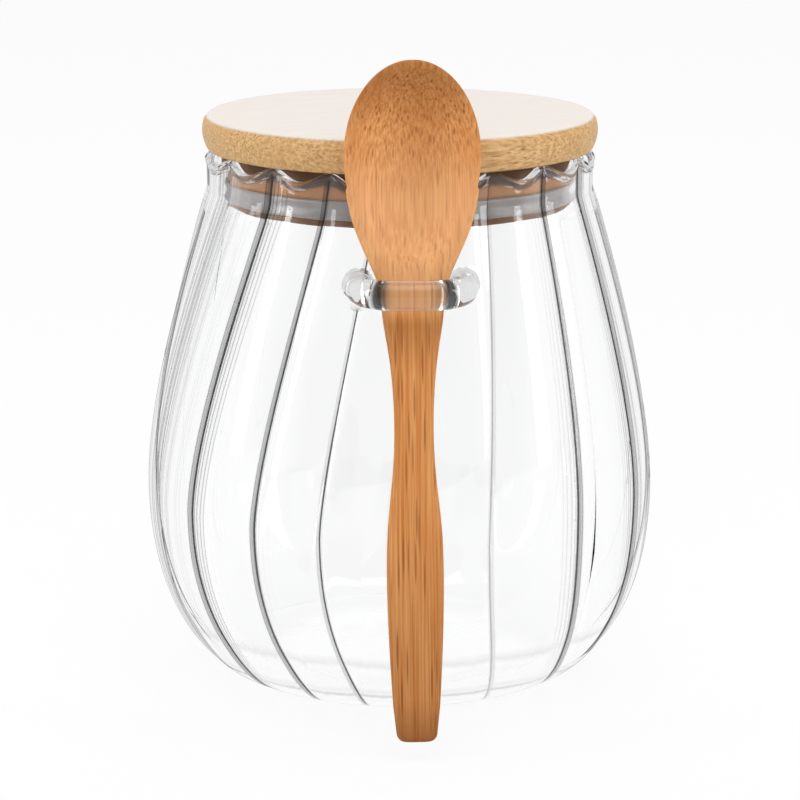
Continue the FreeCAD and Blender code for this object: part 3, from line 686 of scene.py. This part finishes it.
spoon = {
    "endZ": 3.7, "topZ": 131.9, "hangS": 44.594, "slope": 0.198, "handleT": 3.7,
    "bowlS": 46.4, "bowlZ": 113.5, "bowlW": 26.0, "bowlBack": 5.5,
    "hollowDeep": 4.0, "hollowSide": 1.5, "hollowLow": 92.3, "hollowShift": 0.35, "hollowEdge": 0.35,
    "widths": [(10.3, 4.5), (20, 5.05), (32.5, 5.42), (44, 5.12), (54, 4.1), (62.5, 3.75), (70, 4.05),
               (77, 4.85), (84, 5.9), (88, 6.3), (90, 6.9), (96, 9.48), (102, 11.66), (107.5, 12.7)],
    "endW": 3.75, "endRound": 1.4, "rings": 250, "around": 128,
}


def splineThrough(points, x):
    # natural cubic spline through a few points: solve for its bends, then evaluate
    px, py = np.array(points, float).T
    h = np.diff(px)
    slope = np.diff(py) / h
    n = len(px)
    a = np.eye(n)
    b = np.zeros(n)
    for k in range(1, n - 1):
        a[k, k - 1:k + 2] = h[k - 1], 2 * (h[k - 1] + h[k]), h[k]
        b[k] = 6 * (slope[k] - slope[k - 1])
    bend = np.linalg.solve(a, b)
    k = np.clip(np.searchsorted(px, x) - 1, 0, n - 2)
    d = x - px[k]
    return (py[k] + d * (slope[k] - h[k] * (2 * bend[k] + bend[k + 1]) / 6) + d ** 2 * bend[k] / 2
            + d ** 3 * (bend[k + 1] - bend[k]) / (6 * h[k]))


def spoonHalfWidth(z):
    s = spoon
    aboveBowl = (z - s["bowlZ"]) / (s["topZ"] - s["bowlZ"])
    oval = 0.5 * s["bowlW"] * np.sqrt(np.clip(1 - aboveBowl ** 2, 0, None))
    firstZ, firstW = s["widths"][0]
    straight = mix(s["endW"], firstW, (z - s["endZ"]) / (firstZ - s["endZ"]))
    into = np.clip(z - s["endZ"], 0, s["endRound"])
    corner = np.sqrt(np.clip(s["endRound"] ** 2 - (s["endRound"] - into) ** 2, 0, None))
    ended = straight - s["endRound"] + corner
    middle = splineThrough(s["widths"], z)
    return np.where(z >= s["widths"][-1][0], oval, np.where(z <= firstZ, ended, middle))


def makeSpoonMesh():
    # a ring at height z: x = half cos(a)^e, depth between front and back by sin(a)^e; the front is then
    # scooped by a softened egg-shaped hollow, deep * (1 - q^2.6), where q is 1 on the hollow's edge
    s = spoon
    t = np.linspace(0, 1, s["rings"])
    z = mix(s["endZ"], s["topZ"], t)
    crowd = 0.5 - 0.5 * np.cos(math.pi * t)
    z = mix(z, mix(s["endZ"], s["topZ"], crowd), 0.75)[:, None]
    a = np.linspace(0, 2 * math.pi, s["around"], endpoint=False)[None, :]
    share = smoothStep((z - 82.0) / 20.0)
    handleBack = s["hangS"] + (loop["z"] - z) * s["slope"]
    front = mix(handleBack + s["handleT"], s["bowlS"] + 0.0035 * (z - s["bowlZ"]) ** 2, share)
    reach = (z - s["bowlZ"] + 2.0) / 22.0
    depth = s["bowlBack"] * np.sqrt(np.clip(1 - reach ** 2 * 0.75, 0.05, None))
    back = mix(handleBack, s["bowlS"] - depth, share)
    edge = mix((front + back) / 2, front - 0.9, share)
    fromEnd = np.clip((z - s["endZ"]) / 1.2, 0, 1)
    fromTop = np.clip((s["topZ"] - z) / 2.5, 0, 1)
    thinEnd = 0.55 + 0.45 * np.sqrt(1 - (1 - fromEnd) ** 2)
    thin = np.where(fromTop < 1, np.sqrt(1 - (1 - fromTop) ** 2), thinEnd)
    front, back = mix(edge, front, thin), mix(edge, back, thin)
    c, v = np.cos(a), np.sin(a)
    half = spoonHalfWidth(z)
    x = half * np.sign(c) * np.abs(c) ** mix(0.6, 0.85, share)
    frontS = edge + (front - edge) * np.abs(v) ** mix(0.55, 0.3, share)
    backS = edge - (edge - back) * np.abs(v) ** mix(0.55, 0.9, share)
    along = np.where(z > s["bowlZ"], s["topZ"] - 1.3 - s["bowlZ"], s["bowlZ"] - s["hollowLow"])
    q = np.hypot((x - s["hollowShift"]) / (s["bowlW"] / 2 - s["hollowSide"]), (z - s["bowlZ"]) / along)
    scoop = s["hollowDeep"] * (1 - q ** 2.6)
    scoop = 0.5 * (scoop + np.sqrt(scoop ** 2 + s["hollowEdge"] ** 2)) * (q < 1.6)
    frontS = np.where(v > 0, frontS - scoop, backS)
    grid = np.stack([x, -frontS, np.repeat(z, s["around"], 1)], -1)
    points, faces = closedTube(grid, grid[0].mean(0), grid[-1].mean(0))
    piece = meshFrom("bamboo_spoon", points, faces)
    fixNormals(piece)
    return piece


print("stage: spoon")
spoonPiece = makeSpoonMesh()
spoonPiece.data.materials.append(makeSpoonMaterial())
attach(spoonPiece, "root")
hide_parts("spoon")


# studio: pale floor, white surroundings, soft lamps, camera

studio = {"floorHalf": 3.0, "floorGlow": 0.88, "floorSeen": 0.1, "fill": 0.98, "sideFill": 0.25,
          "topDark": 0.75, "frontDark": 0.3, "topPower": 3.5, "sidePower": 3.2, "sideSize": (0.22, 0.8),
          "cameraTurn": -2.95, "cameraFar": 0.620, "cameraHigh": 0.2005, "cameraDip": 13.14, "lens": 138.3}


def makeFloor():
    half = studio["floorHalf"]
    corners = np.array([(-half, -half, 0), (half, -half, 0), (half, half, 0), (-half, half, 0)])
    floor = meshFrom("floor", corners / mm, [(0, 1, 2, 3)], False)
    material, tree, output = newMaterial("paleFloor")
    path = node(tree, "LightPath")
    seen = math2(tree, "ADD", path.outputs["Is Camera Ray"], path.outputs["Is Glossy Ray"])
    seen = math2(tree, "MINIMUM", math2(tree, "ADD", seen, path.outputs["Is Transmission Ray"]), 1.0)
    glow = math2(tree, "MULTIPLY", seen, studio["floorGlow"])
    tone = mapRange(tree, seen, 0.0, 1.0, 0.8, studio["floorSeen"])
    matt = node(tree, "BsdfDiffuse", Color=node(tree, "CombineColor", i0=tone, i1=tone, i2=tone).outputs[0])
    light = node(tree, "Emission", Color=(1, 1, 1, 1), Strength=glow)
    both = node(tree, "AddShader", i0=matt.outputs[0], i1=light.outputs[0])
    tree.links.new(both.outputs[0], output.inputs[0])
    floor.data.materials.append(material)


def makeWorld():
    world = bpy.data.worlds.new("studio")
    scene.world = world
    world.use_nodes = True
    tree = world.node_tree
    tree.nodes.clear()
    output = tree.nodes.new("ShaderNodeOutputWorld")
    path = node(tree, "LightPath")
    # glass mirrors a dim room in front of it, and dull surfaces get less light from the sides
    way = node(tree, "SeparateXYZ", Vector=node(tree, "TexCoord").outputs["Generated"])
    sky = mapRange(tree, way.outputs["Z"], 0.25, 0.8, 1.0, studio["topDark"])
    front = mapRange(tree, way.outputs["Y"], -0.85, -0.25, studio["frontDark"], 1.0)
    sky = math2(tree, "MULTIPLY", sky, front)
    aside = math2(tree, "ABSOLUTE", way.outputs["X"])
    fill = mapRange(tree, aside, 0.3, 0.9, studio["fill"], studio["sideFill"])
    bent = math2(tree, "MAXIMUM", path.outputs["Is Glossy Ray"], path.outputs["Is Transmission Ray"])
    strength = node(tree, "Mix", {"data_type": "FLOAT"}, i0=bent, i2=fill, i3=sky).outputs[0]
    seen = path.outputs["Is Camera Ray"]
    strength = node(tree, "Mix", {"data_type": "FLOAT"}, i0=seen, i2=strength, i3=1.0).outputs[0]
    back = node(tree, "Background", Color=(1, 1, 1, 1), Strength=strength)
    tree.links.new(back.outputs[0], output.inputs[0])


def addLamp(name, place, size, power, aim=(0, 0, 0.07)):
    lamp = bpy.data.lights.new(name, "AREA")
    lamp.shape = "RECTANGLE"
    lamp.size, lamp.size_y = size
    lamp.energy = power
    holder = bpy.data.objects.new(name, lamp)
    scene.collection.objects.link(holder)
    pointAt(holder, place, aim)
    holder.visible_camera = False


def pointAt(thing, place, aim):
    thing.location = place
    thing.rotation_euler = (Vector(aim) - Vector(place)).to_track_quat("-Z", "Y").to_euler()


def makeCamera():
    turn, dip = math.radians(studio["cameraTurn"]), math.radians(studio["cameraDip"])
    far = studio["cameraFar"]
    lens = bpy.data.cameras.new("camera")
    lens.sensor_width = 36.0
    lens.lens = studio["lens"]
    lens.clip_start = 0.01
    camera = bpy.data.objects.new("camera", lens)
    camera.location = (far * math.sin(turn), -far * math.cos(turn), studio["cameraHigh"])
    camera.rotation_euler = (math.pi / 2 - dip, 0, turn)
    scene.collection.objects.link(camera)
    scene.camera = camera


print("stage: studio")
makeFloor()
makeWorld()
addLamp("top", (0.0, -0.15, 1.1), (0.9, 0.9), studio["topPower"])
addLamp("leftBox", (-1.0, -0.25, 0.4), studio["sideSize"], studio["sidePower"])
addLamp("rightBox", (0.95, -0.38, 0.4), studio["sideSize"], studio["sidePower"])
makeCamera()
scene.view_settings.view_transform = "Standard"
